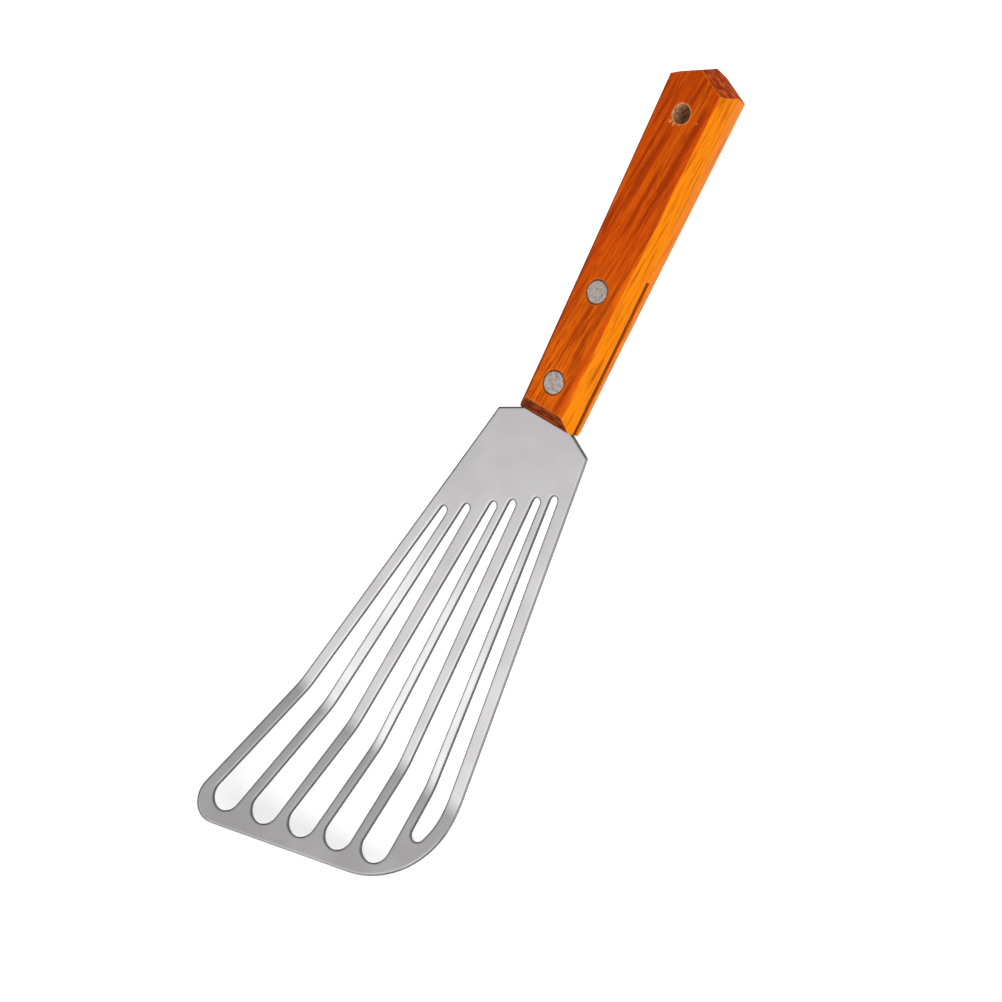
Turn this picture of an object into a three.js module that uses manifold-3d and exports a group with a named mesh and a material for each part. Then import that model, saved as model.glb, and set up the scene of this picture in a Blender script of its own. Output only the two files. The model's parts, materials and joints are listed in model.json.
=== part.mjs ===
// Slotted fish turner: a bent, slotted steel blade riveted into the sawn kerf of a wooden handle.
// Millimetres. +X is to the right of the blade, +Y runs from the blade to the butt of the handle, and
// +Z is the hollow side of the blade. The origin is on the handle's back face, on its centre line.
import * as THREE from 'three';
import { mergeVertices } from 'three/addons/utils/BufferGeometryUtils.js';
import Module from 'manifold-3d';

const wasm = await Module();
wasm.setup();

const degrees = THREE.MathUtils.degToRad;

// Fits
const CLEARANCE = 0.3;
const HEAD_RECESS = 0.1;

// Handle: sizes at the front end, at the butt, and along the length from the front end
const HANDLE_LENGTH = 114.4;
const HANDLE_THICKNESS = 13.8;
const FACE_WIDTH_FRONT = 14.1;
const FACE_WIDTH_BUTT = 19.7;
const WAIST_WIDTH_FRONT = 20.6;
const WAIST_WIDTH_BUTT = 21.8;
const EDGE_EASE = 0.5;
const FRONT_CHAMFER = 3.8;
const LAND_LIP = 2;
const GABLE_ANGLE = degrees(25.3);
const FRONT_SETBACK = 2.35;
const BACK_SETBACK = 1.3;
const KERF_PAST_TANG = 3;
const HOLE_DIAMETER = 6;
const HOLE_TO_BUTT = 16.1;

// Two-part rivets
const FRONT_RIVET = 11.6;
const RIVET_PITCH = 29.6;
const HEAD_RIM = 1;
const HEAD_THICKNESS = 1.6;
const HEAD_EASE = 0.25;
const POST_DIAMETER = 3.4;
const SLEEVE_WALL = 0.6;

// Blade, as the flat sheet before it is bent: reaches are measured forward from the handle's front end
const SHEET = 1.2;
const TANG_WIDTH = 13;
const TANG_PAST_RIVET = 5.8;
const TANG_RADIUS = 3;
const ROOT_RADIUS = 1;
const SHOULDER_WIDTH = 35.6;
const SHOULDER_REACH = 3.9;
const SHOULDER_SLOPE = degrees(25.6);
const SHOULDER_RADIUS = 0.8;
const LEFT_FLARE = degrees(12.3);
const RIGHT_FLARE = degrees(6.6);
const LEAD_REACH = 151.6;
const LEAD_SLANT = degrees(14);
const LEFT_CORNER = 8;
const RIGHT_CORNER = 28.5;

// Slots, fanned between the left edge and the right: the heel ends stand on one slanted line and the toe
// ends a constant strip behind the leading edge, both at shares of the way across
const LEFT_STRIP = 3.9;
const RIGHT_STRIP = 4.3;
const LEAD_STRIP = 4.9;
const HEEL_REACH = 28.1;
const HEEL_SLANT = degrees(30.6);
const HEEL_RADIUS = 1.5;
const HEEL_SHARES = [0, 0.21, 0.455, 0.628, 0.845];
const TOE_RADIUS = 5.1;
const TOE_SHARES = [0, 0.262, 0.513, 0.757, 1];
const LAST_TOE_STEP = 6.5;
const CORNER_TOE_RADIUS = 2.6;
const CORNER_TOE_TURN = degrees(16);

// Roll of every second tine between the slots about its own length, as the punch leaves it
const TINE_ROLL = degrees(4.5);

// Bend of the lip, towards +Z
const BEND_REACH = 113;
const BEND_SLANT = degrees(4.7);
const BEND_ANGLE = degrees(13.8);
const BEND_RADIUS = 26;

// Facets
const ARC_SEGMENTS = 8;
const ROUND_SEGMENTS = 32;
const SIDE_STEPS = 6;
const ROLL_STEPS = 4;
const BEND_STEPS = 4;
const WELD = 1e-4;

const HALF_THICKNESS = HANDLE_THICKNESS / 2;
const KERF = SHEET + 2 * CLEARANCE;
const FRONT_LAND = KERF + 2 * LAND_LIP;
const REAR_RIVET = FRONT_RIVET + RIVET_PITCH;
const HANGING_HOLE = HANDLE_LENGTH - HOLE_TO_BUTT;
const TANG_LENGTH = REAR_RIVET + TANG_PAST_RIVET;
const KERF_LENGTH = TANG_LENGTH + KERF_PAST_TANG;
const SLEEVE_BORE = POST_DIAMETER + 2 * CLEARANCE;
const SLEEVE_DIAMETER = SLEEVE_BORE + 2 * SLEEVE_WALL;
const RIVET_HOLE = SLEEVE_DIAMETER + 2 * CLEARANCE;
const HEAD_DIAMETER = SLEEVE_DIAMETER + 2 * HEAD_RIM;
const LARGE = 4 * HANDLE_LENGTH;

// Directions in the sheet: the blade's two side edges run from the shoulders to the toe
const DOWN = -Math.PI / 2;
const LEFT_EDGE = DOWN - LEFT_FLARE;
const RIGHT_EDGE = DOWN + RIGHT_FLARE;

// A closed geometry as a solid that can be joined and cut
function solidOf(geometry) {
  geometry.deleteAttribute('normal');
  geometry.deleteAttribute('uv');
  const merged = mergeVertices(geometry, WELD);
  const mesh = new wasm.Mesh({
    numProp: 3,
    vertProperties: new Float32Array(merged.attributes.position.array),
    triVerts: new Uint32Array(merged.index.array),
  });
  return new wasm.Manifold(mesh);
}

function geometryOf(solid) {
  const mesh = solid.getMesh();
  const geometry = new THREE.BufferGeometry();
  geometry.setAttribute('position', new THREE.BufferAttribute(mesh.vertProperties, 3));
  geometry.setIndex(new THREE.BufferAttribute(mesh.triVerts, 1));
  geometry.computeVertexNormals();
  return geometry;
}

// An upright round bar centred on a point of the handle's centre line
function roundBar(diameter, height, y, z) {
  const bar = new THREE.CylinderGeometry(diameter / 2, diameter / 2, height, ROUND_SEGMENTS);
  bar.rotateX(Math.PI / 2);
  bar.translate(0, y, z);
  return solidOf(bar);
}

// Everything on the outer side of a plane, as a block large enough to cut any piece here
function beyond(point, normal) {
  const block = new THREE.BoxGeometry(LARGE, LARGE, LARGE);
  block.translate(0, 0, LARGE / 2);
  const turn = new THREE.Quaternion().setFromUnitVectors(new THREE.Vector3(0, 0, 1), normal.normalize());
  block.applyQuaternion(turn);
  block.translate(point.x, point.y, point.z);
  return solidOf(block);
}

// A point of the sheet moved a distance in a direction
function moved(point, angle, distance) {
  return point.clone().add(new THREE.Vector2(distance, 0).rotateAround(new THREE.Vector2(), angle));
}

// Where two lines cross in the sheet, each given by a point and a direction angle
function crossing(p, pAngle, q, qAngle) {
  const along = new THREE.Vector2(Math.cos(pAngle), Math.sin(pAngle));
  const across = new THREE.Vector2(-Math.sin(qAngle), Math.cos(qAngle));
  const distance = q.clone().sub(p).dot(across) / along.dot(across);
  return p.clone().addScaledVector(along, distance);
}

// The arc that rounds the corner between two straight runs
function fillet(before, corner, after, radius) {
  const inward = corner.clone().sub(before).normalize();
  const outward = after.clone().sub(corner).normalize();
  const side = Math.sign(inward.cross(outward));
  const setback = radius * Math.tan(Math.acos(inward.dot(outward)) / 2);
  const start = corner.clone().addScaledVector(inward, -setback);
  const normal = new THREE.Vector2(-inward.y, inward.x).multiplyScalar(side);
  const centre = start.clone().addScaledVector(normal, radius);
  const end = corner.clone().addScaledVector(outward, setback);
  return {
    centre,
    from: start.clone().sub(centre).angle(),
    to: end.clone().sub(centre).angle(),
    clockwise: side < 0,
  };
}

function roundedOutline(corners) {
  const shape = new THREE.Shape();
  corners.forEach(({ at, radius }, i) => {
    const before = corners[(i + corners.length - 1) % corners.length].at;
    const after = corners[(i + 1) % corners.length].at;
    const arc = fillet(before, at, after, radius);
    shape.absarc(arc.centre.x, arc.centre.y, radius, arc.from, arc.to, arc.clockwise);
  });
  return shape;
}

// The straight runs of the blade's outline and the corners where they meet
function bladeCorners() {
  const tang = TANG_WIDTH / 2;
  const shoulder = SHOULDER_WIDTH / 2;
  const rise = (shoulder - tang) * Math.tan(SHOULDER_SLOPE);
  const leftShoulder = new THREE.Vector2(-shoulder, -SHOULDER_REACH);
  const rightShoulder = new THREE.Vector2(shoulder, -SHOULDER_REACH);
  const lead = new THREE.Vector2(0, -LEAD_REACH);
  return {
    tangRight: { at: new THREE.Vector2(tang, TANG_LENGTH), radius: TANG_RADIUS },
    tangLeft: { at: new THREE.Vector2(-tang, TANG_LENGTH), radius: TANG_RADIUS },
    rootLeft: { at: new THREE.Vector2(-tang, rise - SHOULDER_REACH), radius: ROOT_RADIUS },
    shoulderLeft: { at: leftShoulder, radius: SHOULDER_RADIUS },
    toeLeft: { at: crossing(leftShoulder, LEFT_EDGE, lead, LEAD_SLANT), radius: LEFT_CORNER },
    toeRight: { at: crossing(rightShoulder, RIGHT_EDGE, lead, LEAD_SLANT), radius: RIGHT_CORNER },
    shoulderRight: { at: rightShoulder, radius: SHOULDER_RADIUS },
    rootRight: { at: new THREE.Vector2(tang, rise - SHOULDER_REACH), radius: ROOT_RADIUS },
  };
}

// The two angles at which a straight side touches both end circles of a tapered slot
function sideAngles(heel, heelRadius, toe, toeRadius) {
  const axis = toe.clone().sub(heel);
  const lean = Math.acos((heelRadius - toeRadius) / axis.length());
  return { left: axis.angle() - lean, right: axis.angle() + lean };
}

function taperedSlot(heel, toe) {
  const side = sideAngles(heel, HEEL_RADIUS, toe, TOE_RADIUS);
  const slot = new THREE.Path();
  slot.absarc(toe.x, toe.y, TOE_RADIUS, side.left, side.right, false);
  slot.absarc(heel.x, heel.y, HEEL_RADIUS, side.right, side.left, false);
  return slot;
}

// The last slot keeps a constant strip inside the right edge and its large round corner
function cornerSlot(heel, toe, corner) {
  const side = sideAngles(heel, HEEL_RADIUS, toe, CORNER_TOE_RADIUS);
  const slot = new THREE.Path();
  slot.absarc(corner.x, corner.y, RIGHT_CORNER - RIGHT_STRIP, RIGHT_FLARE, -CORNER_TOE_TURN, true);
  slot.absarc(toe.x, toe.y, CORNER_TOE_RADIUS, -CORNER_TOE_TURN, side.left, true);
  slot.absarc(heel.x, heel.y, HEEL_RADIUS, side.left, RIGHT_FLARE, true);
  return slot;
}

function rightCornerCentre({ toeLeft, toeRight, shoulderRight }) {
  return fillet(toeLeft.at, toeRight.at, shoulderRight.at, RIGHT_CORNER).centre;
}

// Heel and toe centres of five slots fanned between the two edges, and of the corner slot
function slotAxes(corners) {
  const heelLine = new THREE.Vector2(0, -HEEL_REACH);
  const leftSide = (radius) => moved(corners.shoulderLeft.at, -LEFT_FLARE, LEFT_STRIP + radius);
  const rightSide = moved(corners.shoulderRight.at, RIGHT_FLARE, -RIGHT_STRIP - HEEL_RADIUS);
  const firstHeel = crossing(leftSide(HEEL_RADIUS), LEFT_EDGE, heelLine, HEEL_SLANT);
  const lastHeel = crossing(rightSide, RIGHT_EDGE, heelLine, HEEL_SLANT);
  const corner = rightCornerCentre(corners);
  const toeLine = moved(corner, LEAD_SLANT + DOWN, RIGHT_CORNER - LEAD_STRIP - TOE_RADIUS);
  const firstToe = crossing(leftSide(TOE_RADIUS), LEFT_EDGE, toeLine, LEAD_SLANT);
  const lastToe = moved(toeLine, LEAD_SLANT, LAST_TOE_STEP);
  const fan = HEEL_SHARES.map((share, i) => ({
    heel: firstHeel.clone().lerp(lastHeel, share),
    toe: firstToe.clone().lerp(lastToe, TOE_SHARES[i]),
  }));
  const cornerToe = moved(corner, -CORNER_TOE_TURN, RIGHT_CORNER - RIGHT_STRIP - CORNER_TOE_RADIUS);
  return [...fan, { heel: lastHeel, toe: cornerToe }];
}

function bladeShape(corners, axes) {
  const shape = roundedOutline(Object.values(corners));
  const last = axes.at(-1);
  shape.holes.push(...axes.slice(0, -1).map(({ heel, toe }) => taperedSlot(heel, toe)));
  shape.holes.push(cornerSlot(last.heel, last.toe, rightCornerCentre(corners)));
  for (const y of [FRONT_RIVET, REAR_RIVET]) {
    shape.holes.push(new THREE.Path().absarc(0, y, RIVET_HOLE / 2, 0, 2 * Math.PI, false));
  }
  return shape;
}

function trianglesOf(geometry) {
  const { position } = geometry.toNonIndexed().attributes;
  const triangles = [];
  for (let i = 0; i < position.count; i += 3) {
    triangles.push([0, 1, 2].map((j) => new THREE.Vector3().fromBufferAttribute(position, i + j)));
  }
  return triangles;
}

// Splits triangles along the line where a measured distance reaches a level
function splitAt(triangles, measure, level) {
  return triangles.flatMap((corners) => {
    const heights = corners.map((corner) => measure(corner) - level);
    const cutEdges = [0, 1, 2].filter((i) => heights[i] * heights[(i + 1) % 3] < -(WELD ** 2));
    if (cutEdges.length === 0) return [corners];
    const cut = (i) => {
      const share = heights[i] / (heights[i] - heights[(i + 1) % 3]);
      return corners[i].clone().lerp(corners[(i + 1) % 3], share);
    };
    if (cutEdges.length === 1) {
      const i = cutEdges[0];
      const middle = cut(i);
      const opposite = corners[(i + 2) % 3];
      return [[corners[i], middle, opposite], [middle, corners[(i + 1) % 3], opposite]];
    }
    const lone = [0, 1, 2].find((i) => cutEdges.includes(i) && cutEdges.includes((i + 2) % 3));
    const [a, b, c] = [corners[lone], corners[(lone + 1) % 3], corners[(lone + 2) % 3]];
    const ab = cut(lone);
    const ca = cut((lone + 2) % 3);
    return [[a, ab, ca], [ab, b, c], [ab, c, ca]];
  });
}

// Rolls every second tine to the right about its own length, most at half its length and not at its ends
function rollTines(triangles, axes) {
  const lines = axes.map(({ heel, toe }) => {
    const along = toe.clone().sub(heel);
    return { heel, length: along.length(), along: along.normalize() };
  });
  const from = ({ heel }, point) => new THREE.Vector2(point.x, point.y).sub(heel);
  const offset = (line, point) => line.along.cross(from(line, point));
  const share = (line, point) => THREE.MathUtils.clamp(line.along.dot(from(line, point)) / line.length, 0, 1);
  const rolled = (point) => {
    const passed = lines.filter((line) => offset(line, point) > 0).length;
    if (passed % 2 === 0 || passed === lines.length) return point;
    const sides = lines.slice(passed - 1, passed + 1);
    const middle = (offset(sides[0], point) + offset(sides[1], point)) / 2;
    const [left, right] = sides.map((line) => Math.sin(Math.PI * share(line, point)));
    return point.clone().setZ(point.z - middle * Math.tan(TINE_ROLL) * Math.min(left, right));
  };
  let split = triangles;
  for (let step = 1; step < ROLL_STEPS; step += 1) {
    const reach = THREE.MathUtils.lerp(HEEL_REACH, BEND_REACH, step / ROLL_STEPS);
    split = splitAt(split, (point) => -point.y, reach);
  }
  return split.map((corners) => corners.map(rolled));
}

// Rolls the sheet ahead of the bend line up onto an arc, then straight on as the lip
function bendLip(triangles) {
  const forward = new THREE.Vector3(-Math.sin(BEND_SLANT), -Math.cos(BEND_SLANT), 0);
  const arc = BEND_RADIUS * BEND_ANGLE;
  const start = new THREE.Vector3(0, -BEND_REACH, 0).addScaledVector(forward, -arc / 2);
  const measure = (point) => point.clone().sub(start).dot(forward);
  const bent = (point) => {
    const run = measure(point);
    if (run <= 0) return point;
    const turn = Math.min(run / BEND_RADIUS, BEND_ANGLE);
    const lip = Math.max(run - arc, 0);
    const advance = (BEND_RADIUS - point.z) * Math.sin(turn) + lip * Math.cos(turn);
    const height = BEND_RADIUS - (BEND_RADIUS - point.z) * Math.cos(turn) + lip * Math.sin(turn);
    return point.clone().addScaledVector(forward, advance - run).setZ(height);
  };
  let split = triangles;
  for (let step = 0; step <= BEND_STEPS; step += 1) {
    split = splitAt(split, measure, (arc * step) / BEND_STEPS);
  }
  return split.map((corners) => corners.map(bent));
}

function blade() {
  const corners = bladeCorners();
  const axes = slotAxes(corners);
  const options = { depth: SHEET, bevelEnabled: false, curveSegments: ARC_SEGMENTS };
  const sheet = new THREE.ExtrudeGeometry(bladeShape(corners, axes), options);
  sheet.translate(0, 0, -SHEET / 2);
  sheet.deleteAttribute('normal');
  sheet.deleteAttribute('uv');
  const flat = trianglesOf(mergeVertices(sheet, WELD));
  const shaped = bendLip(rollTines(flat, axes));
  const geometry = mergeVertices(new THREE.BufferGeometry().setFromPoints(shaped.flat()), WELD);
  geometry.computeVertexNormals();
  return geometry;
}

// Half the handle's width at a station along it and a height from its middle plane
function halfWidth(y, z) {
  const along = y / HANDLE_LENGTH;
  const face = THREE.MathUtils.lerp(FACE_WIDTH_FRONT, FACE_WIDTH_BUTT, along) / 2;
  const waist = THREE.MathUtils.lerp(WAIST_WIDTH_FRONT, WAIST_WIDTH_BUTT, along) / 2;
  return waist - (waist - face) * (z / HALF_THICKNESS) ** 2;
}

// A stick with flat faces and bowed sides, widening from the front end to the butt
function handleBlank() {
  const side = [new THREE.Vector2(halfWidth(0, HALF_THICKNESS) - EDGE_EASE, -HALF_THICKNESS)];
  const reach = HALF_THICKNESS - EDGE_EASE;
  for (let step = 0; step <= SIDE_STEPS; step += 1) {
    const z = THREE.MathUtils.lerp(-reach, reach, step / SIDE_STEPS);
    side.push(new THREE.Vector2(halfWidth(0, z), z));
  }
  side.push(new THREE.Vector2(side[0].x, HALF_THICKNESS));
  const otherSide = side.map((point) => new THREE.Vector2(-point.x, -point.y));
  const section = new THREE.Shape([...side, ...otherSide]);
  const stick = new THREE.ExtrudeGeometry(section, { depth: HANDLE_LENGTH, bevelEnabled: false });
  stick.rotateX(-Math.PI / 2);
  const { position } = stick.attributes;
  for (let i = 0; i < position.count; i += 1) {
    const x = position.getX(i);
    const growth = halfWidth(position.getY(i), position.getZ(i)) - halfWidth(0, position.getZ(i));
    position.setX(i, x + Math.sign(x) * growth);
  }
  return solidOf(stick);
}

function handle() {
  let body = handleBlank();
  const butt = new THREE.Vector3(0, HANDLE_LENGTH, 0);
  const chamferDepth = HALF_THICKNESS - FRONT_LAND / 2;
  for (const up of [-1, 1]) {
    const land = new THREE.Vector3(0, 0, (up * FRONT_LAND) / 2);
    body = body.subtract(beyond(land, new THREE.Vector3(0, -chamferDepth, up * FRONT_CHAMFER)));
  }
  for (const right of [-1, 1]) {
    for (const setback of [-BACK_SETBACK, FRONT_SETBACK]) {
      const outward = new THREE.Vector3(right * Math.tan(GABLE_ANGLE), 1, setback / HALF_THICKNESS);
      body = body.subtract(beyond(butt, outward));
    }
  }
  const kerf = new THREE.BoxGeometry(LARGE, 2 * KERF_LENGTH, KERF);
  body = body.subtract(solidOf(kerf));
  const headDepth = HEAD_RECESS + HEAD_THICKNESS + CLEARANCE;
  for (const y of [FRONT_RIVET, REAR_RIVET]) {
    body = body.subtract(roundBar(RIVET_HOLE, 2 * HANDLE_THICKNESS, y, 0));
    for (const up of [-1, 1]) {
      body = body.subtract(roundBar(HEAD_DIAMETER + 2 * CLEARANCE, 2 * headDepth, y, up * HALF_THICKNESS));
    }
  }
  body = body.subtract(roundBar(HOLE_DIAMETER, 2 * HANDLE_THICKNESS, HANGING_HOLE, 0));
  return geometryOf(body);
}

// Half section of a rivet piece, from the axis on top of its head to the axis at its other end
function rivetPiece(below) {
  const top = HALF_THICKNESS - HEAD_RECESS;
  const head = HEAD_DIAMETER / 2;
  const profile = [
    [0, top],
    [head - HEAD_EASE, top],
    [head, top - HEAD_EASE],
    [head, top - HEAD_THICKNESS],
    ...below,
  ];
  const points = profile.map(([radius, z]) => new THREE.Vector2(radius, z)).reverse();
  const geometry = new THREE.LatheGeometry(points, ROUND_SEGMENTS);
  geometry.rotateX(Math.PI / 2);
  return geometryOf(solidOf(geometry));
}

function rivetPost() {
  const shank = POST_DIAMETER / 2;
  const underHead = HALF_THICKNESS - HEAD_RECESS - HEAD_THICKNESS;
  const end = CLEARANCE - underHead;
  return rivetPiece([[shank, underHead], [shank, end], [0, end]]);
}

// The sleeve is drawn head up and turned over onto the back face
function rivetSleeve() {
  const outside = SLEEVE_DIAMETER / 2;
  const bore = SLEEVE_BORE / 2;
  const underHead = HALF_THICKNESS - HEAD_RECESS - HEAD_THICKNESS;
  const mouth = CLEARANCE - underHead;
  const tube = [[outside, underHead], [outside, mouth], [bore, mouth], [bore, underHead]];
  return rivetPiece([...tube, [0, underHead]]);
}

function finish(color, metalness, roughness) {
  return new THREE.MeshStandardMaterial({ color, metalness, roughness });
}

function addPiece(parent, name, geometry, material) {
  const mesh = new THREE.Mesh(geometry, material);
  mesh.name = name;
  parent.add(mesh);
  return mesh;
}

const turner = new THREE.Group();
turner.name = 'turner';
const assembly = new THREE.Group();
assembly.position.set(0, -(REAR_RIVET + HANGING_HOLE) / 2, HALF_THICKNESS);
turner.add(assembly);

addPiece(assembly, 'blade', blade(), finish(0xc8c9ca, 1, 0.3));
addPiece(assembly, 'handle', handle(), finish(0xb5500f, 0, 0.35));
for (const [place, y] of [['front', FRONT_RIVET], ['rear', REAR_RIVET]]) {
  const post = addPiece(assembly, `rivet_${place}_post`, rivetPost(), finish(0xb9b3b0, 1, 0.35));
  post.position.y = y;
  const sleeve = addPiece(assembly, `rivet_${place}_sleeve`, rivetSleeve(), finish(0xb9b3b0, 1, 0.35));
  sleeve.position.y = y;
  sleeve.rotation.y = Math.PI;
}

export default turner;
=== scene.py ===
"""Slotted kitchen turner: the looks of a bent steel blade riveted into a stained wooden handle."""
import json
import math

import bpy
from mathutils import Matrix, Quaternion, Vector


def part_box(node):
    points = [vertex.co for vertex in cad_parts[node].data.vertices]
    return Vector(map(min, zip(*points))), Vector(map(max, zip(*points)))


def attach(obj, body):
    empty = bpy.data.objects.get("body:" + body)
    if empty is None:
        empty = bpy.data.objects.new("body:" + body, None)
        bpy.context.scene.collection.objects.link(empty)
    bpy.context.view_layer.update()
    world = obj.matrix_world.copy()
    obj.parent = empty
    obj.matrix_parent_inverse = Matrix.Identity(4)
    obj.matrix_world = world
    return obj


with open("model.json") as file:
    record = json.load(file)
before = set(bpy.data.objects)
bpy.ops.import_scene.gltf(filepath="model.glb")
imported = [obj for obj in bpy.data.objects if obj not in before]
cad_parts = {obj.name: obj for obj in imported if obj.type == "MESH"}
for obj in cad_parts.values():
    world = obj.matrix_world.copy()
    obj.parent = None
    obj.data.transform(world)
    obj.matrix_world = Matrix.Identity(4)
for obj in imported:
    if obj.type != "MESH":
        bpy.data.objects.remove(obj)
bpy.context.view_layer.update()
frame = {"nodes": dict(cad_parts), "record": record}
scene = bpy.context.scene
scene.view_settings.view_transform = "Standard"

MM = 0.001

# The viewpoint of the photograph, for a square image
CAMERA_AT = Vector((479.2, 52.7, 756.9)) * MM
CAMERA_AIM = Vector((-3.0, -98.0, 7.0)) * MM
CAMERA_ROLL = math.radians(-79.0)
SENSOR = 36.0
LENS = 108.73
NEAREST, FARTHEST = 0.05, 50.0

# The floor in metres: its size, the run of the lip's shade on it, and from where to where it turns white
FLOOR_SIZE = 40.0
LIP_SHADE_RUN = 60 * MM
WHITE_START, WHITE_END = 0.6, 1.2
# What lies on the floor: the handle's points this near its back, and the blade this far from the handle
BACK_DEPTH = 0.01 * MM
FREE_BLADE_START = 30 * MM

# Places on the handle, in the frame's millimetres
OPENINGS = {opening["name"]: opening["box_m"] for opening in frame["record"]["physics"]["openings"]}
HOLE_LOW, HOLE_HIGH = (Vector(corner) / MM for corner in OPENINGS["hanging_hole"])
HOLE_AT = (HOLE_LOW + HOLE_HIGH) / 2
HOLE_RADIUS = 3.0
HANDLE_LOW, HANDLE_HIGH = (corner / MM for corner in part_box("handle"))
FACE_HEIGHT = HANDLE_HIGH.z
KERF_HALF = 0.9
KERF_MOUTH = 9.9
GRAIN_SLOPE = math.radians(6)
EDGE_GRAIN_SLOPE = math.radians(3)
# Places from the hole's centre where the drill tore the stained skin off, and their sizes
CHIPS = [((-2.5, -3.1), 0.6), ((-1.0, -3.6), 0.6), ((6.1, -0.6), 0.3)]
# How far torn edges wander: in millimetres round the hole, and as a share of a chip's size
RAGGED = 1.5

# The blade's outline in millimetres: where its sides begin, and the flare of each side
SHOULDER_X, SHOULDER_Y = 17.8, HANDLE_LOW.y - 3.9
RIGHT_FLARE = math.radians(6.6)
LEFT_FLARE = math.radians(12.3)
# Where the dull heel of the blade fades out
HEEL_FADE_START, HEEL_FADE_END = HANDLE_LOW.y - 20, HANDLE_LOW.y - 48

# The seam round a rivet's head
SEAM = 0.3 * MM
# The eased edges: their width, and the least angle between the faces of an edge that is eased
WOOD_EASE, WOOD_ANGLE = 0.6 * MM, math.radians(28)
METAL_EASE, METAL_ANGLE = 0.1 * MM, math.radians(40)
# What counts as one point and as one flat face before the edges are eased
WELD_DISTANCE = 0.001 * MM
FLAT_ANGLE = math.radians(0.5)

# Sockets of the Mix node that share their names with others
FACTOR, UNDER, OVER = 0, 6, 7
LEVEL_UNDER, LEVEL_OVER = 2, 3


def linear(hex_colour):
    """An sRGB hex colour as linear red, green, blue and alpha."""
    channels = [int(hex_colour[i:i + 2], 16) / 255 for i in (1, 3, 5)]
    return [c / 12.92 if c <= 0.04045 else ((c + 0.055) / 1.055) ** 2.4 for c in channels] + [1.0]


def add(tree, kind, inputs=None, **settings):
    """A node with its settings and inputs. An input is a value, a socket, or a node that feeds it."""
    made = tree.nodes.new(kind)
    for name, value in settings.items():
        setattr(made, name, value)
    for socket, value in (inputs or {}).items():
        if isinstance(value, bpy.types.Node):
            value = next(output for output in value.outputs if output.enabled)
        if isinstance(value, bpy.types.NodeSocket):
            tree.links.new(value, made.inputs[socket])
        else:
            made.inputs[socket].default_value = value
    return made


def new_material(name):
    """An empty material and its node tree."""
    material = bpy.data.materials.new(name)
    material.use_nodes = True
    material.node_tree.nodes.clear()
    return material, material.node_tree


def millimetres(tree):
    """The frame's coordinates in millimetres."""
    place = add(tree, "ShaderNodeTexCoord").outputs["Object"]
    return add(tree, "ShaderNodeVectorMath", {0: place, "Scale": 1 / MM}, operation="SCALE")


def streaks(tree, place, width, run, **noise):
    """Noise drawn out along the turner, in streaks of a width and a run in millimetres."""
    scale = (1 / width, 1 / run, 1 / width)
    drawn = add(tree, "ShaderNodeMapping", {"Vector": place, "Scale": scale})
    return add(tree, "ShaderNodeTexNoise", {"Vector": drawn, "Scale": 1.0, **noise})


def layer(tree, under, over, value, start, end, cover=1.0):
    """One colour under another, which covers it more and more as a value goes from a start to an end."""
    share = add(tree, "ShaderNodeMapRange", {
        "Value": value, "From Min": start, "From Max": end, "To Max": cover,
    }, interpolation_type="SMOOTHSTEP")
    return add(tree, "ShaderNodeMix", {FACTOR: share, UNDER: under, OVER: over}, data_type="RGBA")


def planed_face(tree, place):
    """The stain of the planed faces, and the height of their grain.

    The stain sinks in unevenly: soft dark bands, fibres and short pores run almost along the handle, and
    it is darker towards the butt. The pores are drawn wider than real ones, so that they show.
    """
    along = add(tree, "ShaderNodeMapping", {"Vector": place, "Rotation": (0, 0, GRAIN_SLOPE)})
    y = add(tree, "ShaderNodeSeparateXYZ", {0: place}).outputs["Y"]
    soaked = add(tree, "ShaderNodeMapRange", {
        "Value": y, "From Min": HANDLE_LOW.y, "From Max": HANDLE_HIGH.y, "To Min": -0.08, "To Max": 0.14,
    }, interpolation_type="SMOOTHSTEP")
    broad = streaks(tree, along, width=7.0, run=80.0, Detail=1.0)
    depth = add(tree, "ShaderNodeMath", {0: broad, 1: soaked}, operation="ADD")
    bands = streaks(tree, along, width=1.6, run=22.0, Detail=3.0, Roughness=0.6, Distortion=0.25)
    fibres = streaks(tree, along, width=0.5, run=9.0, Detail=2.0)
    pores = add(tree, "ShaderNodeMapRange", {
        "Value": streaks(tree, along, width=0.55, run=3.5, Detail=1.0), "From Min": 0.56, "From Max": 0.7,
    }, interpolation_type="SMOOTHSTEP")

    dark = linear("#862602")
    ground = layer(tree, linear("#e06606"), linear("#cc4e03"), depth, 0.38, 0.62)
    banded = layer(tree, ground, dark, bands, 0.4, 0.7, cover=0.75)
    fibrous = layer(tree, banded, dark, fibres, 0.42, 0.72, cover=0.4)
    porous = layer(tree, fibrous, dark, pores, 0.0, 1.0, cover=0.4)
    colour = layer(tree, porous, dark, y, 0.0, HANDLE_HIGH.y, cover=0.2)
    height = add(tree, "ShaderNodeMath", {0: fibres, 1: pores}, operation="SUBTRACT")
    return colour, height


def side_stain_and_painted_light(tree, place):
    """The sides: golden, with thin lines of grain, paler than the faces partly because they take less stain
    and partly with painted light.
    """
    turned = add(tree, "ShaderNodeMapping", {"Vector": place, "Rotation": (EDGE_GRAIN_SLOPE, 0, 0)})
    plane = add(tree, "ShaderNodeVectorMath", {0: turned, 1: (0, 1, 1)}, operation="MULTIPLY")
    lines = streaks(tree, plane, width=0.9, run=14.0, Detail=3.0, Roughness=0.6)
    return layer(tree, linear("#d87804"), linear("#923803"), lines, 0.44, 0.72, cover=0.75)


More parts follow.
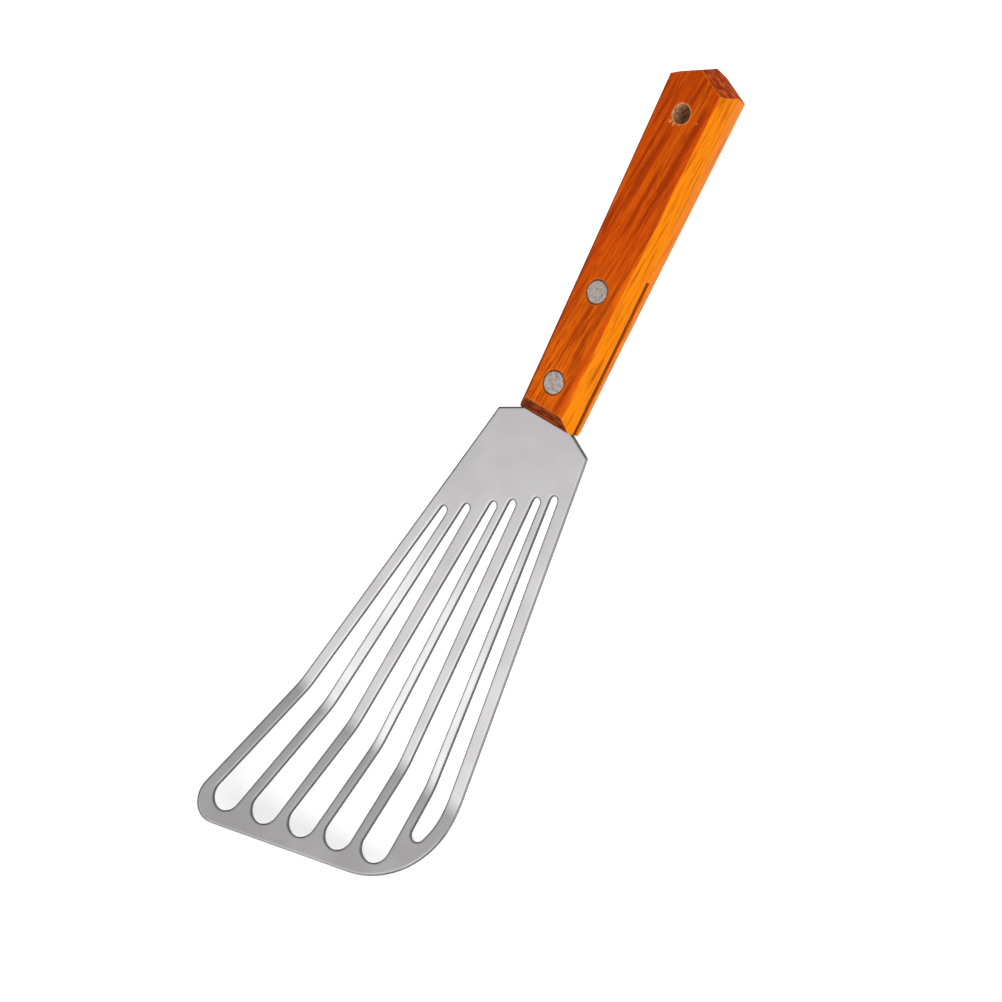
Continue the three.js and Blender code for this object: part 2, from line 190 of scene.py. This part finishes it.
def sawn_ends(tree, place, facing, under):
    """The ends, sawn across the grain: dark, with short streaks across. The front end is darker still with
    painted shade, and the rims of both are pale with a painted highlight.
    """
    drawn = add(tree, "ShaderNodeMapping", {"Vector": place, "Scale": (1 / 3.5, 1 / 1.2, 1 / 0.9)})
    mottle = add(tree, "ShaderNodeTexNoise", {"Vector": drawn, "Scale": 1.0, "Detail": 3.0})
    front = layer(tree, linear("#4e1606"), linear("#8e3e1a"), mottle, 0.36, 0.7)
    butt = layer(tree, linear("#8e2804"), linear("#c45c24"), mottle, 0.36, 0.7)
    endways = add(tree, "ShaderNodeMath", {0: facing["Y"]}, operation="ABSOLUTE")
    # Painted highlight: the eased rims of the ends are paler.
    painted_rim_tone = layer(tree, under, linear("#ee8a34"), endways, 0.15, 0.4, cover=0.6)
    # Painted shade: the front end is darker than the butt end.
    front_end_shaded = layer(tree, painted_rim_tone, front, facing["Y"], -0.55, -0.75)
    return layer(tree, front_end_shaded, butt, facing["Y"], 0.55, 0.75)


def drilled_hole(tree, place, under):
    """The hanging hole: bare grimy wood inside, a pale torn rim, and chips where the drill came through."""
    crumbs = add(tree, "ShaderNodeTexNoise", {"Vector": place, "Scale": 1 / 0.7, "Detail": 2.0})
    flat_place = add(tree, "ShaderNodeVectorMath", {0: place, 1: (1, 1, 0)}, operation="MULTIPLY")
    centre = (HOLE_AT.x, HOLE_AT.y, 0)
    away = add(tree, "ShaderNodeVectorMath", {0: flat_place, 1: centre}, operation="DISTANCE")
    torn = add(tree, "ShaderNodeMath", {0: crumbs, 1: RAGGED, 2: away}, operation="MULTIPLY_ADD")
    rimmed = layer(tree, under, linear("#dc8844"), torn, HOLE_RADIUS + 1.5, HOLE_RADIUS + 0.7, cover=0.6)
    grime = add(tree, "ShaderNodeTexNoise", {"Vector": place, "Scale": 1 / 1.5, "Detail": 2.0})
    bare = layer(tree, linear("#cc9a74"), linear("#966a48"), grime, 0.35, 0.65)
    colour = layer(tree, rimmed, bare, away, HOLE_RADIUS + 0.2, HOLE_RADIUS + 0.05)
    for (x, y), size in CHIPS:
        chip_at = (HOLE_AT.x + x, HOLE_AT.y + y, FACE_HEIGHT)
        distance = add(tree, "ShaderNodeVectorMath", {0: place, 1: chip_at}, operation="DISTANCE")
        ragged = add(tree, "ShaderNodeMath", {
            0: crumbs, 1: RAGGED * size, 2: distance,
        }, operation="MULTIPLY_ADD")
        colour = layer(tree, colour, linear("#ea9a4e"), ragged, 2.1 * size, 1.3 * size, cover=0.5)
    return colour


def shaded_kerf_walls(tree, place, facing, under):
    """The walls of the saw kerf, short of the eased mouth: bare wood painted darker brown as shade deep in
    the kerf.
    """
    apart = add(tree, "ShaderNodeSeparateXYZ", {0: place}).outputs
    above = add(tree, "ShaderNodeMath", {0: apart["Z"], 1: FACE_HEIGHT / 2}, operation="SUBTRACT")
    off_middle = add(tree, "ShaderNodeMath", {0: above}, operation="ABSOLUTE")
    level = add(tree, "ShaderNodeMath", {0: facing["Z"]}, operation="ABSOLUTE")
    across = add(tree, "ShaderNodeMath", {0: apart["X"]}, operation="ABSOLUTE")
    inside = 1.0
    for value, start, end in (
        (off_middle, KERF_HALF + 0.1, KERF_HALF), (level, 0.5, 0.8), (across, KERF_MOUTH, KERF_MOUTH - 0.4),
    ):
        within = add(tree, "ShaderNodeMapRange", {
            "Value": value, "From Min": start, "From Max": end,
        }, interpolation_type="SMOOTHSTEP")
        inside = add(tree, "ShaderNodeMath", {0: inside, 1: within}, operation="MULTIPLY")
    # Painted shade: the kerf's walls deeper than its mouth are a darker brown.
    return add(tree, "ShaderNodeMix", {
        FACTOR: inside, UNDER: under, OVER: linear("#8e5622"),
    }, data_type="RGBA")


def rubberwood():
    """Rubberwood, planed, stained orange brown and matt varnished.

    The faces are streaked. The sides are golden, partly paler side grain and partly painted light, and the
    left-hand arris is darkened with painted shade. The sawn ends are dark and rough, the front one darker
    still with painted shade. The hole shows bare wood, and the kerf bare wood painted darker with shade.
    """
    material, tree = new_material("rubberwood_stained_varnished")
    place = millimetres(tree)
    eased = add(tree, "ShaderNodeBevel", {"Radius": 0.5 * MM}, samples=8)
    facing = add(tree, "ShaderNodeSeparateXYZ", {0: eased}).outputs
    sideways = add(tree, "ShaderNodeMath", {0: facing["X"]}, operation="ABSOLUTE")
    endways = add(tree, "ShaderNodeMath", {0: facing["Y"]}, operation="ABSOLUTE")

    face, grain_height = planed_face(tree, place)
    # Painted shade: the left-hand arris is darkened.
    left_arris_painted_shade = layer(tree, face, linear("#6e2202"), facing["X"], -0.06, -0.35, cover=0.6)
    # Partly painted light: the sides are golden and paler than the faces.
    sides_and_painted_light = layer(tree, left_arris_painted_shade, side_stain_and_painted_light(tree, place), sideways, 0.5, 0.68)
    ended = sawn_ends(tree, place, facing, sides_and_painted_light)
    holed = drilled_hole(tree, place, ended)
    colour = shaded_kerf_walls(tree, place, facing, holed)

    roughness = add(tree, "ShaderNodeMapRange", {
        "Value": endways, "From Min": 0.6, "From Max": 0.75, "To Min": 0.42, "To Max": 0.8,
    }, interpolation_type="SMOOTHSTEP")
    bump = add(tree, "ShaderNodeBump", {
        "Height": grain_height, "Strength": 0.25, "Distance": 0.05 * MM, "Normal": eased,
    })
    surface = add(tree, "ShaderNodeBsdfPrincipled", {
        "Base Color": colour, "Roughness": roughness, "Specular IOR Level": 0.04, "Normal": bump,
    })
    add(tree, "ShaderNodeOutputMaterial", {"Surface": surface})
    return material


def past_side(tree, place, way, flare):
    """How far a place lies past a side of the blade, in millimetres: way 1 is right, and -1 left."""
    outward = Vector((way * math.cos(flare), math.sin(flare), 0))
    reach = add(tree, "ShaderNodeVectorMath", {0: place, 1: outward}, operation="DOT_PRODUCT")
    side = Vector((way * SHOULDER_X, SHOULDER_Y, 0)).dot(outward)
    return add(tree, "ShaderNodeMath", {0: reach, 1: side}, operation="SUBTRACT")


def painted_rim_shade(tree, place, normal, rolled):
    """Painted shade on the rims: a little all round, and more where they run across and down the left side.
    """
    # Painted shade all round the rims, more the further they roll.
    level = add(tree, "ShaderNodeVectorMath", {0: rolled, 1: normal}, operation="DOT_PRODUCT")
    painted_rim_tone = add(tree, "ShaderNodeMapRange", {
        "Value": level, "From Min": 0.98, "From Max": 0.8, "To Max": 0.5,
    }, interpolation_type="SMOOTHSTEP")
    turned = add(tree, "ShaderNodeMapRange", {
        "Value": level, "From Min": 0.999, "From Max": 0.966, "To Max": 0.75,
    }, interpolation_type="SMOOTHSTEP")
    # More painted shade where the rims run across the blade and down its left side.
    tip = add(tree, "ShaderNodeVectorMath", {0: rolled, 1: normal}, operation="SUBTRACT")
    tipped = add(tree, "ShaderNodeSeparateXYZ", {0: tip}).outputs
    crossways = add(tree, "ShaderNodeMath", {0: tipped["X"]}, operation="ABSOLUTE")
    lengthways = add(tree, "ShaderNodeMath", {0: tipped["Y"]}, operation="ABSOLUTE")
    sidelong = add(tree, "ShaderNodeMath", {0: crossways, 1: lengthways}, operation="SUBTRACT")
    at_ends = add(tree, "ShaderNodeMapRange", {
        "Value": sidelong, "From Min": 0.12, "From Max": 0.02,
    }, interpolation_type="SMOOTHSTEP")
    at_left = add(tree, "ShaderNodeMapRange", {
        "Value": past_side(tree, place, -1, LEFT_FLARE), "From Min": -2.0, "From Max": -1.5,
    }, interpolation_type="SMOOTHSTEP")
    left_and_end_rims = add(tree, "ShaderNodeMath", {0: at_ends, 1: at_left}, operation="MAXIMUM")
    rim_shade_left_and_ends = add(tree, "ShaderNodeMath", {0: turned, 1: left_and_end_rims}, operation="MULTIPLY")
    return add(tree, "ShaderNodeMath", {0: painted_rim_tone, 1: rim_shade_left_and_ends}, operation="MAXIMUM")


def stainless():
    """Stainless steel sheet, belt ground to a fine satin along its length, with sheared edges.

    The ground faces reflect the room softly and are darker towards the heel. The rims are rounded and
    darkened with painted shade, most where they run across and down the left side. The sheared walls of the
    slots and the outline are dark, but painted paler with light on the right-hand side. The grit is drawn
    coarser than it is, so that it shows.
    """
    material, tree = new_material("stainless_satin_ground")
    place = millimetres(tree)
    along = add(tree, "ShaderNodeSeparateXYZ", {0: place}).outputs["Y"]
    normal = add(tree, "ShaderNodeTexCoord").outputs["Normal"]
    facing = add(tree, "ShaderNodeSeparateXYZ", {0: normal}).outputs
    upward = add(tree, "ShaderNodeMath", {0: facing["Z"]}, operation="ABSOLUTE")
    rolled = add(tree, "ShaderNodeBevel", {"Radius": 1.0 * MM}, samples=8)
    cloud = add(tree, "ShaderNodeTexNoise", {"Vector": place, "Scale": 1 / 18.0, "Detail": 2.0})
    grit = streaks(tree, place, width=0.5, run=40.0, Detail=3.0)

    ground = layer(tree, linear("#d9d7d8"), linear("#cccacb"), cloud, 0.3, 0.7)
    heeled = layer(tree, ground, linear("#b8b6b7"), along, HEEL_FADE_END, HEEL_FADE_START, cover=0.27)
    # Painted shade: the rims are darkened towards grey.
    rimmed = add(tree, "ShaderNodeMix", {
        FACTOR: painted_rim_shade(tree, place, normal, rolled), UNDER: heeled, OVER: linear("#6e6d6d"),
    }, data_type="RGBA")
    # Painted light: the outer wall on the right-hand side is paler than the other walls.
    past_right = past_side(tree, place, 1, RIGHT_FLARE)
    walls_with_painted_light = layer(tree, linear("#686767"), linear("#8a8989"), past_right, -0.5, -0.2)
    sheared = add(tree, "ShaderNodeMapRange", {
        "Value": upward, "From Min": 0.5, "From Max": 0.25,
    }, interpolation_type="SMOOTHSTEP")
    colour = add(tree, "ShaderNodeMix", {FACTOR: sheared, UNDER: rimmed, OVER: walls_with_painted_light}, data_type="RGBA")

    satin = add(tree, "ShaderNodeMapRange", {
        "Value": cloud, "From Min": 0.3, "From Max": 0.7, "To Min": 0.17, "To Max": 0.21,
    }, interpolation_type="SMOOTHSTEP")
    roughness = add(tree, "ShaderNodeMix", {FACTOR: sheared, LEVEL_UNDER: satin, LEVEL_OVER: 0.55})
    bump = add(tree, "ShaderNodeBump", {
        "Height": grit, "Strength": 0.15, "Distance": 0.02 * MM, "Normal": rolled,
    })
    surface = add(tree, "ShaderNodeBsdfPrincipled", {
        "Base Color": colour, "Metallic": 1.0, "Roughness": roughness, "Normal": bump,
    })
    add(tree, "ShaderNodeOutputMaterial", {"Surface": surface})
    return material


def rivet_steel():
    """Steel rivet, sanded flush with the wood, so that it is scratched one way and a little cloudy.

    The scratches are drawn wider than they are, so that they show.
    """
    material, tree = new_material("rivet_steel_sanded")
    place = millimetres(tree)
    scratches = streaks(tree, place, width=0.35, run=5.0, Detail=3.0)
    cloud = add(tree, "ShaderNodeTexNoise", {"Vector": place, "Scale": 1 / 0.9, "Detail": 3.0})
    colour = layer(tree, linear("#c8bcb7"), linear("#a69891"), cloud, 0.35, 0.65)
    bump = add(tree, "ShaderNodeBump", {"Height": scratches, "Strength": 0.3, "Distance": 0.03 * MM})
    surface = add(tree, "ShaderNodeBsdfPrincipled", {
        "Base Color": colour, "Metallic": 1.0, "Roughness": 0.38, "Normal": bump,
    })
    add(tree, "ShaderNodeOutputMaterial", {"Surface": surface})
    return material


def varnish():
    """Varnish, brushed into the seams, brown with the dust of sanding, which it holds in specks."""
    material, tree = new_material("varnish_brushed_in")
    dust = add(tree, "ShaderNodeTexNoise", {"Vector": millimetres(tree), "Scale": 1 / 0.6})
    colour = layer(tree, linear("#9a5234"), linear("#84401e"), dust, 0.35, 0.65)
    surface = add(tree, "ShaderNodeBsdfPrincipled", {
        "Base Color": colour, "Roughness": 0.5, "Specular IOR Level": 0.06,
    })
    add(tree, "ShaderNodeOutputMaterial", {"Surface": surface})
    return material


def floor_paper():
    """White paper backdrop, matt, which shows white to the eye and in the steel and keeps the shadow.

    It is lifted less in front of the blade, so that the lip's shade shows, and fully where it is far off.
    """
    material, tree = new_material("backdrop_paper_matt")
    ray = add(tree, "ShaderNodeLightPath").outputs
    shown = ray["Is Camera Ray"]
    for other in ("Is Glossy Ray", "Is Transmission Ray"):
        shown = add(tree, "ShaderNodeMath", {0: shown, 1: ray[other]}, operation="MAXIMUM")
    place = add(tree, "ShaderNodeNewGeometry").outputs["Position"]
    along = add(tree, "ShaderNodeSeparateXYZ", {0: place}).outputs["Y"]
    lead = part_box("blade")[0].y
    near = add(tree, "ShaderNodeMapRange", {
        "Value": along, "From Min": lead, "From Max": lead + LIP_SHADE_RUN, "To Min": 0.2, "To Max": 0.6,
    }, interpolation_type="SMOOTHSTEP")
    away = add(tree, "ShaderNodeVectorMath", {0: place}, operation="LENGTH")
    far = add(tree, "ShaderNodeMapRange", {
        "Value": away, "From Min": WHITE_START, "From Max": WHITE_END,
    }, interpolation_type="SMOOTHSTEP")
    lit = add(tree, "ShaderNodeMath", {0: near, 1: far}, operation="MAXIMUM")
    glow = add(tree, "ShaderNodeMath", {0: shown, 1: lit}, operation="MULTIPLY")
    paper = add(tree, "ShaderNodeBsdfDiffuse", {"Color": linear("#f2f2f2")})
    lift = add(tree, "ShaderNodeEmission", {"Color": linear("#ffffff"), "Strength": glow})
    both = add(tree, "ShaderNodeAddShader", {0: paper, 1: lift})
    add(tree, "ShaderNodeOutputMaterial", {"Surface": both})
    return material


def smooth_shading():
    """A modifier's node group that shades all faces smooth."""
    group = bpy.data.node_groups.new("shade_smooth", "GeometryNodeTree")
    for way in ("INPUT", "OUTPUT"):
        group.interface.new_socket("Geometry", in_out=way, socket_type="NodeSocketGeometry")
    start = add(group, "NodeGroupInput")
    smooth = add(group, "GeometryNodeSetShadeSmooth", {"Geometry": start})
    add(group, "NodeGroupOutput", {0: smooth})
    return group


def ease_edges(piece, width, sharp_angle, shading):
    """Rounds the sharp edges of a solid a little and shades it smooth."""
    weld = piece.modifiers.new("weld", "WELD")
    weld.merge_threshold = WELD_DISTANCE
    flats = piece.modifiers.new("flats", "DECIMATE")
    flats.decimate_type = "DISSOLVE"
    flats.angle_limit = FLAT_ANGLE
    ease = piece.modifiers.new("ease", "BEVEL")
    ease.width = width
    ease.segments = 3
    ease.limit_method = "ANGLE"
    ease.angle_limit = sharp_angle
    smooth = piece.modifiers.new("smooth", "NODES")
    smooth.node_group = shading
    weighted = piece.modifiers.new("normals", "WEIGHTED_NORMAL")
    weighted.weight = 100
    weighted.keep_sharp = False


def dress(node, material, width, sharp_angle, shading):
    """Gives a solid of the frame its material and its eased edges."""
    piece = frame["nodes"][node]
    piece.data.materials.clear()
    piece.data.materials.append(material)
    ease_edges(piece, width, sharp_angle, shading)


def fill_seam(rivet, material):
    """The varnish that fills the seam between a rivet's head and the wood."""
    low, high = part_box(rivet)
    middle = (low + high) / 2
    face = high.z if high.z > FACE_HEIGHT * MM / 2 else low.z
    radius = (high.x - low.x + SEAM) / 2
    at = (middle.x, middle.y, face - math.copysign(SEAM / 2, face - middle.z))
    bpy.ops.mesh.primitive_torus_add(
        location=at, major_radius=radius, minor_radius=SEAM / 2, major_segments=64)
    ring = bpy.context.object
    ring.name = f"{rivet}_seam"
    ring.data.materials.append(material)
    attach(ring, "root")


def make_camera():
    """The camera at the photograph's viewpoint."""
    data = bpy.data.cameras.new("photo_view")
    data.sensor_width = SENSOR
    data.lens = LENS
    data.clip_start, data.clip_end = NEAREST, FARTHEST
    camera = bpy.data.objects.new("photo_view", data)
    camera.location = CAMERA_AT
    level = (CAMERA_AIM - CAMERA_AT).to_track_quat("-Z", "Y")
    camera.rotation_mode = "QUATERNION"
    camera.rotation_quaternion = level @ Quaternion((0, 0, 1), CAMERA_ROLL)
    scene.collection.objects.link(camera)
    scene.camera = camera


def make_floor():
    """The floor under the front lower edge of the handle and the outside of the blade's bend."""
    handle, blade = (
        [vertex.co for vertex in frame["nodes"][node].data.vertices] for node in ("handle", "blade"))
    front = min(point.y for point in handle if point.z < BACK_DEPTH)
    free = [point for point in blade if point.y < front - FREE_BLADE_START]
    slope = min(point.z / (front - point.y) for point in free)
    tilt = (-math.atan(slope), 0, 0)
    bpy.ops.mesh.primitive_plane_add(size=FLOOR_SIZE, location=(0, front, 0), rotation=tilt)
    floor = bpy.context.object
    floor.name = "floor"
    floor.data.materials.append(floor_paper())


def softbox(name, direction, distance, size, power):
    """A square soft lamp that faces the turner and is kept out of the steel's reflections."""
    data = bpy.data.lights.new(name, "AREA")
    data.shape = "SQUARE"
    data.size = size
    data.energy = power
    lamp = bpy.data.objects.new(name, data)
    toward = Vector(direction).normalized()
    lamp.location = CAMERA_AIM + toward * distance
    lamp.rotation_mode = "QUATERNION"
    lamp.rotation_quaternion = (-toward).to_track_quat("-Z", "Y")
    lamp.visible_glossy = False
    scene.collection.objects.link(lamp)


def make_room():
    """The room's light, which changes with its direction.

    It is brighter from past the blade than from past the butt, dimmer from low down past the blade and from
    far to the left, and brightest from overhead to the right.
    """
    world = bpy.data.worlds.new("room")
    world.use_nodes = True
    tree = world.node_tree
    tree.nodes.clear()
    direction = add(tree, "ShaderNodeTexCoord").outputs["Generated"]
    toward = add(tree, "ShaderNodeSeparateXYZ", {0: direction}).outputs
    level = 1.0
    for axis, start, end, first, last in (
        ("Y", 0.3, -0.42, 0.33, 1.03), ("Y", -0.4, -0.75, 1.0, 0.5),
        ("X", -0.82, -0.6, 0.4, 1.0), ("X", -0.555, -0.415, 1.0, 1.6),
    ):
        change = add(tree, "ShaderNodeMapRange", {
            "Value": toward[axis], "From Min": start, "From Max": end, "To Min": first, "To Max": last,
        }, interpolation_type="SMOOTHSTEP")
        level = add(tree, "ShaderNodeMath", {0: level, 1: change}, operation="MULTIPLY")
    light = add(tree, "ShaderNodeBackground", {"Color": linear("#ffffff"), "Strength": level})
    add(tree, "ShaderNodeOutputWorld", {"Surface": light})
    scene.world = world


make_camera()
make_floor()
make_room()
softbox("key", direction=(0.95, 0.1, 0.4), distance=1.2, size=0.9, power=7.5)
softbox("fill", direction=(0.35, 0.35, 0.87), distance=1.5, size=1.0, power=2.6)

shading = smooth_shading()
dress("handle", rubberwood(), WOOD_EASE, WOOD_ANGLE, shading)
dress("blade", stainless(), METAL_EASE, METAL_ANGLE, shading)
rivet_finish = rivet_steel()
seam_finish = varnish()
for rivet in ("rivet_front", "rivet_rear"):
    for half in ("post", "sleeve"):
        dress(f"{rivet}_{half}", rivet_finish, METAL_EASE, METAL_ANGLE, shading)
        fill_seam(f"{rivet}_{half}", seam_finish)
